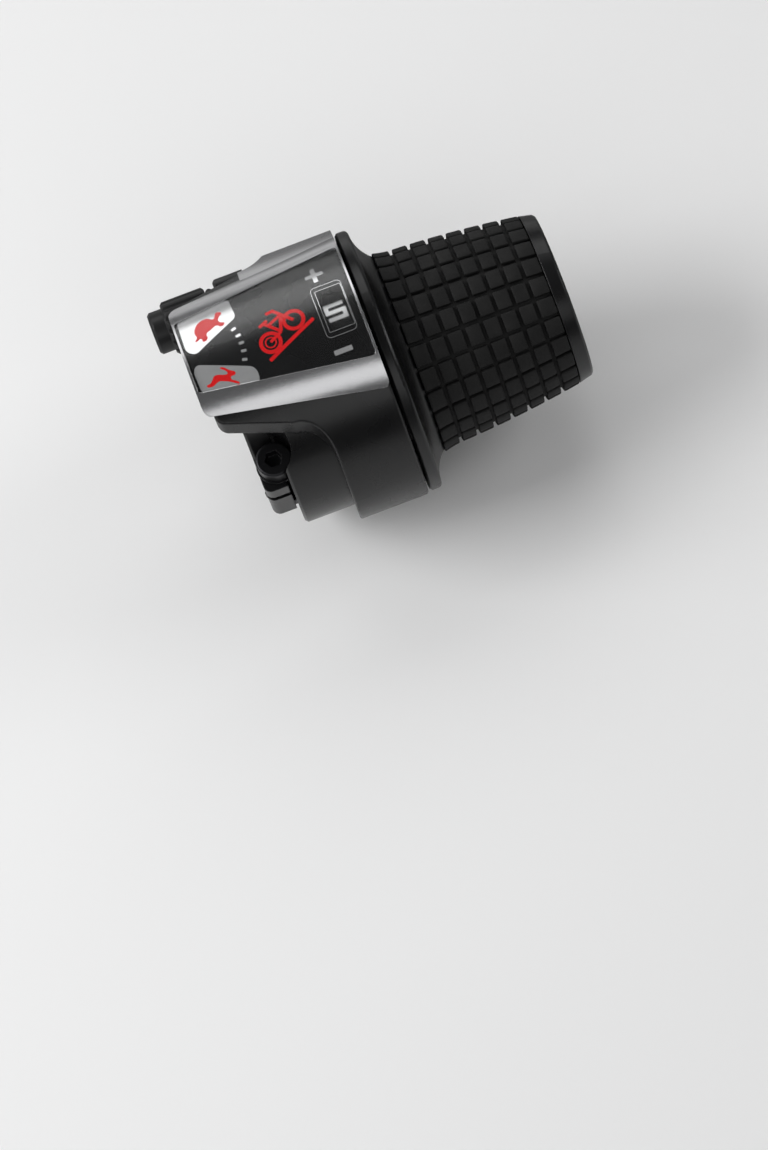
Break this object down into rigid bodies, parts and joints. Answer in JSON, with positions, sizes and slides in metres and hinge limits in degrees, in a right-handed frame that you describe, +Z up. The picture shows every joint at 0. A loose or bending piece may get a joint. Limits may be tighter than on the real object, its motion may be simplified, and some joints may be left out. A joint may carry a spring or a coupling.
{
  "type": "twist grip shifter",
  "caption": "Bicycle twist grip gear shifter with a ribbed rubber grip, a gear display under a silver cover, a bar clamp with a socket bolt, and a cable adjuster.",
  "frame": {"origin": "on the handlebar axis, at the parting line between the housing and the grip", "axes": "+X along the bar to its outer end, +Y forward and away from the rider, +Z up through the gear display"},
  "size_m": [0.0766, 0.0536, 0.0548],
  "materials": {
    "housing_plastic": "satin moulded",
    "silver_trim": "satin silver lacquer",
    "display_black": "printed",
    "clear_lens": "clear moulded",
    "black_steel": "black oxide",
    "plain_steel": "zinc plated",
    "grip_plastic": "satin moulded",
    "grip_rubber": "matte moulded",
    "drum_plastic": "natural acetal",
    "number_plastic": "printed",
    "adjuster_plastic": "satin moulded",
    "ring_rubber": "plain"
  },
  "bodies": {
    "housing": {"bracket": "housing_plastic", "outer_shell": "housing_plastic", "cover_frame": "silver_trim", "display_panel": "display_black", "display_lens": "clear_lens", "clamp_bolt": "black_steel", "clamp_washer": "black_steel", "clamp_nut": "black_steel", "shell_screws": "plain_steel", "cover_screws": "plain_steel", "cable_guide": "plain_steel", "thrust_washer": "plain_steel", "detent_spring": "plain_steel", "spring_screw": "plain_steel"},
    "grip": {"grip_sleeve": "grip_plastic", "grip_rubber": "grip_rubber", "retaining_clip": "plain_steel", "winding_drum": "drum_plastic", "index_ring": "drum_plastic", "number_ring": "number_plastic"},
    "adjuster": {"adjuster_barrel": "adjuster_plastic", "adjuster_ring": "ring_rubber"}
  },
  "joints": [
    {"name": "grip_twist", "type": "hinge", "parent": "housing", "child": "grip", "pos_m": [0, 0, 0], "axis": [1, 0, 0], "range_deg": [0, 72], "deforming": ["detent_spring"]},
    {"name": "adjuster_turn", "type": "hinge", "parent": "housing", "child": "adjuster", "pos_m": [-0.0392, 0.0165, 0.0125], "axis": [-1, 0, 0], "range_deg": [-360, 360]}
  ]
}
